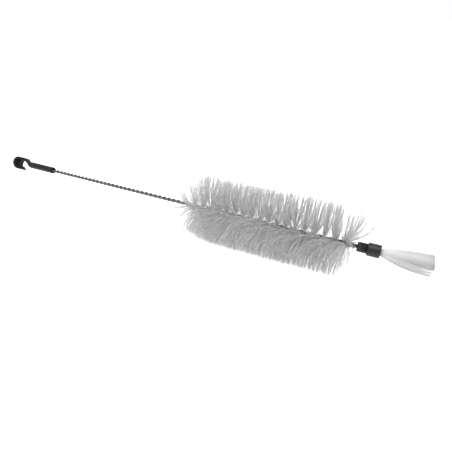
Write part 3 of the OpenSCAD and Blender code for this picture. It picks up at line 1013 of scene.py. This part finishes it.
def tuft():
    """The filaments in the ferrule's mouth: a bundle that flares, with a thin part apart below."""
    own = int(TUFT_FILAMENTS * PART_SHARE)
    main = disc(TUFT_FILAMENTS - own)
    apart = disc(own)
    end = X_TIP - TUFT_TRIM * random.random(TUFT_FILAMENTS)
    end[:-own] += MAIN_MORE - MAIN_SLANT * main[:, 1]
    end[-own:] -= PART_SHORT * random.random(own) ** 2
    points = []
    for t in np.arange(TUFT_STEPS + 1) / TUFT_STEPS:
        places = np.concatenate([main_places(main, t), part_places(apart, t)])
        points.append(tuft_points(places, t, end))
    # Painted shade: the main bundle's lower filaments get a darker tone, and the part apart below
    # keeps full tone.
    painted_light = np.concatenate([smooth(PAINTED_LIGHT_FROM + main[:, 1]), np.ones(own)])
    tone = TUFT_PAINTED_SHADE * painted_light + (1 - TUFT_PAINTED_SHADE) * random.random(TUFT_FILAMENTS)
    return filaments("tuft", np.stack(points, 1), TUFT_FILAMENT_R, tone)


# ---- stage, light and camera ----

# The camera is the one that the photo's perspective gives.
CAMERA_PLACE = (155.03, -202.61, 154.34)
CAMERA_AZIMUTH = 26.664
CAMERA_ELEVATION = 31.915
CAMERA_LENS = 26.402  # its focal length
CLIP_START_M = 0.01

WORLD_LEVEL = 0.75  # of the white world, for the rays that don't see a background
KEY_PLACE_M = (0.1, -0.15, 1.05)
KEY_AIM_M = (0.05, 0.0, 0.02)
KEY_SIZE_M = 0.5
KEY_LEVEL = 0.3
FLOOR_SIZE_M = 40.0
FLOOR_COLOUR = (0.80, 0.80, 0.80, 1.0)
FLOOR_GLOW = 0.85  # added to the floor, for the rays that see a background


def white_rays(tree):
    """1 for the rays that see a background: from the camera, by a mirror or through glass."""
    path = tree.nodes.new("ShaderNodeLightPath")
    total = path.outputs["Is Camera Ray"]
    for name in ("Is Glossy Ray", "Is Transmission Ray"):
        both = tree.nodes.new("ShaderNodeMath")
        both.operation = "MAXIMUM"
        tree.links.new(total, both.inputs[0])
        tree.links.new(path.outputs[name], both.inputs[1])
        total = both.outputs[0]
    return total


def white_floor():
    """A matt material that takes shadows, but glows for the rays that see a background."""
    material = bpy.data.materials.new("white_floor")
    material.use_nodes = True
    tree = material.node_tree
    tree.nodes.clear()
    matt = tree.nodes.new("ShaderNodeBsdfDiffuse")
    matt.inputs["Color"].default_value = FLOOR_COLOUR
    level = tree.nodes.new("ShaderNodeMath")
    level.operation = "MULTIPLY"
    level.inputs[1].default_value = FLOOR_GLOW
    tree.links.new(white_rays(tree), level.inputs[0])
    glow = tree.nodes.new("ShaderNodeEmission")
    tree.links.new(level.outputs[0], glow.inputs["Strength"])
    both = tree.nodes.new("ShaderNodeAddShader")
    tree.links.new(matt.outputs[0], both.inputs[0])
    tree.links.new(glow.outputs[0], both.inputs[1])
    out = tree.nodes.new("ShaderNodeOutputMaterial")
    tree.links.new(both.outputs[0], out.inputs["Surface"])
    return material


def floor():
    """A wide floor for the brush to lie on."""
    bpy.ops.mesh.primitive_plane_add(size=FLOOR_SIZE_M, location=(0, 0, 0))
    plane = bpy.context.object
    plane.name = "floor"
    plane.data.materials.append(white_floor())


def world():
    """An even white world, which is dimmer for the rays that don't see a background."""
    studio = bpy.data.worlds.new("studio")
    studio.use_nodes = True
    tree = studio.node_tree
    back = tree.nodes["Background"]
    back.inputs["Color"].default_value = (1, 1, 1, 1)
    level = tree.nodes.new("ShaderNodeMapRange")
    level.inputs["To Min"].default_value = WORLD_LEVEL
    level.inputs["To Max"].default_value = 1.0
    tree.links.new(white_rays(tree), level.inputs["Value"])
    tree.links.new(level.outputs[0], back.inputs["Strength"])
    bpy.context.scene.world = studio


def key_light():
    """A square soft light above the brush, strong enough to light what faces it to a level."""
    lamp = bpy.data.lights.new("key", "AREA")
    lamp.size = KEY_SIZE_M
    to_brush = Vector(KEY_AIM_M) - Vector(KEY_PLACE_M)
    lamp.energy = KEY_LEVEL * math.pi ** 2 * to_brush.length ** 2
    holder = bpy.data.objects.new("key", lamp)
    holder.location = KEY_PLACE_M
    holder.rotation_euler = to_brush.to_track_quat("-Z", "Y").to_euler()
    bpy.context.scene.collection.objects.link(holder)


def camera():
    """The photo's own camera."""
    data = bpy.data.cameras.new("camera")
    data.lens = CAMERA_LENS
    data.clip_start = CLIP_START_M
    holder = bpy.data.objects.new("camera", data)
    holder.location = [c * MM for c in CAMERA_PLACE]
    holder.rotation_euler = (math.radians(90 - CAMERA_ELEVATION), 0, math.radians(CAMERA_AZIMUTH))
    bpy.context.scene.collection.objects.link(holder)
    bpy.context.scene.camera = holder


# ---- the scene ----

hook_plastic = black_plastic("hook_plastic", gloss=0.2, roughness=0.48)
ferrule_plastic = black_plastic("ferrule_plastic", gloss=0.42, roughness=0.34)
steel = galvanised_wire()
bristle_nylon = nylon("nylon_bristle", dark=0.80, pale=0.89, roughness=0.42)
tuft_nylon = nylon("nylon_tuft", dark=0.91, pale=0.99, roughness=0.4)

place(hook_handle(), "black_plastic", hook_plastic, "hook_handle")
place(twisted_wire(), "galvanised_wire", steel, "twisted_wire")
for bundle in bristles():
    place(bundle, "nylon_bristle", bristle_nylon, "bristles")
place(ferrule(), "black_plastic", ferrule_plastic, "tip_ferrule")
place(tuft(), "nylon_tuft", tuft_nylon, "tip_tuft")

floor()
world()
key_light()
camera()
bpy.context.scene.view_settings.view_transform = "Standard"
